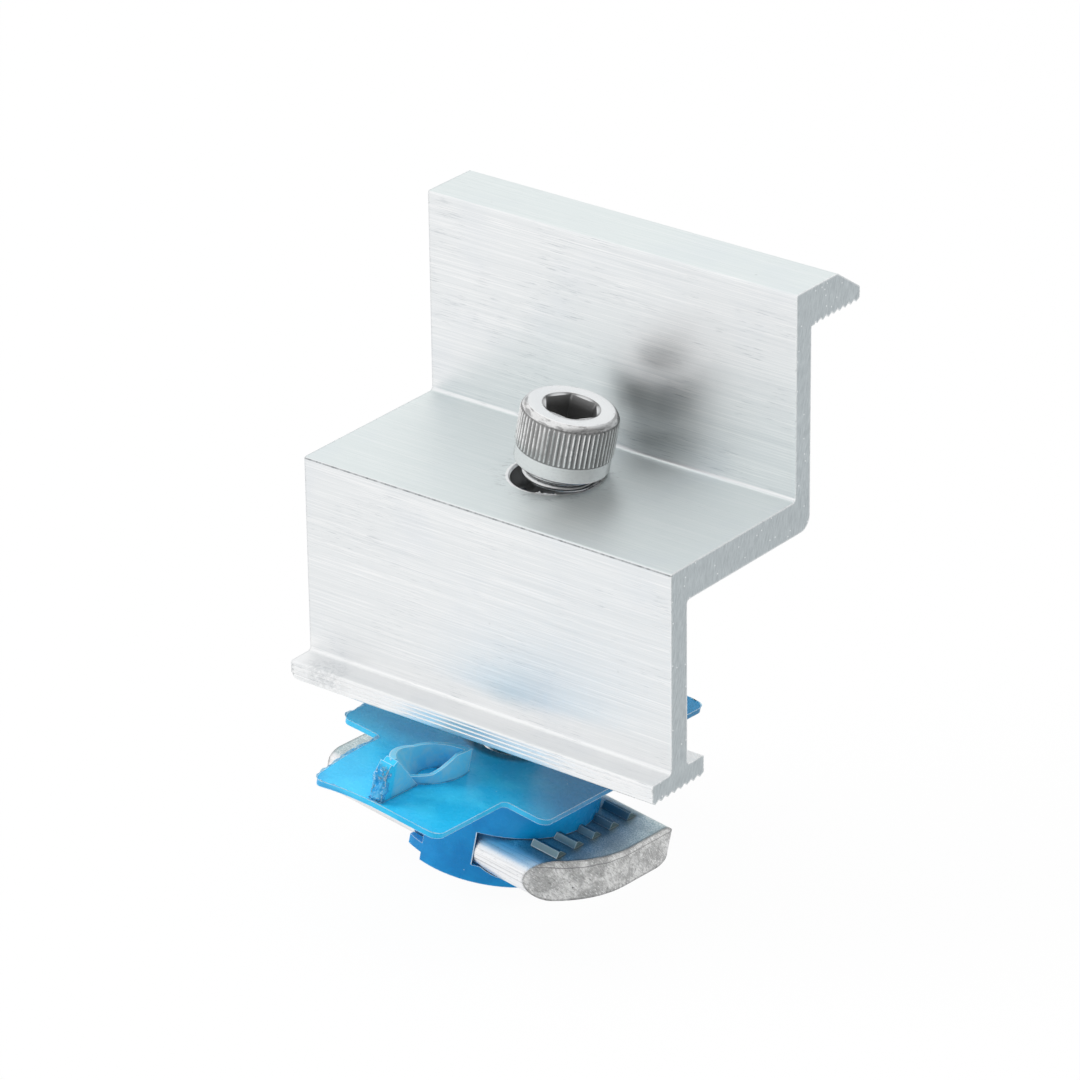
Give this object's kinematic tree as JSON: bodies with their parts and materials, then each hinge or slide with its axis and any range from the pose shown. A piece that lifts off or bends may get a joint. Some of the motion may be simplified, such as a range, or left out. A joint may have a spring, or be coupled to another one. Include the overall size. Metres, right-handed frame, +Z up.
{
  "type": "solar end clamp",
  "caption": "End clamp for a solar module: serrated aluminium Z-section on a spring-loaded cap screw, with a channel nut in a moulded holder.",
  "frame": {"origin": "middle of the clamp's module-side face along the extrusion, level with the top of the step that the screw passes through", "axes": "+X along the extrusion, +Y from the clamp to the solar module, +Z up, from the foot to the hook"},
  "size_m": [0.06, 0.0582, 0.086],
  "materials": {
    "clamp_aluminium": "mill finish with lengthwise extrusion lines",
    "stainless_steel": "bright turned and knurled",
    "spring_steel": "bright drawn wire",
    "blue_plastic": "translucent moulded, glossy",
    "nut_aluminium": "mill finish with sawn ends"
  },
  "bodies": {
    "holder": {"nut_holder": "blue_plastic", "channel_nut": "nut_aluminium"},
    "spring": {"spring": "spring_steel"},
    "screw": {"cap_screw": "stainless_steel"},
    "clamp": {"end_clamp": "clamp_aluminium"}
  },
  "joints": [
    {"name": "screw_advance", "type": "slide", "parent": "holder", "child": "spring", "axis": [0.1548, 0.0823, 0.9845], "range_m": [-0.00187, 0.00374], "deforming": ["spring"]},
    {"name": "screw_turn", "type": "hinge", "parent": "spring", "child": "screw", "pos_m": [0.00021, -0.01399, 0.00133], "axis": [0.1548, 0.0823, 0.9845], "range_deg": [-540, 1080]},
    {"name": "clamp_swivel", "type": "hinge", "parent": "spring", "child": "clamp", "pos_m": [0.00021, -0.01399, 0.00133], "axis": [0.1548, 0.0823, 0.9845], "range_deg": [-270, 10]}
  ],
  "couplings": [
    {"joint": "screw_turn", "follows": "screw_advance", "rad_per_m": 5026.5}
  ]
}
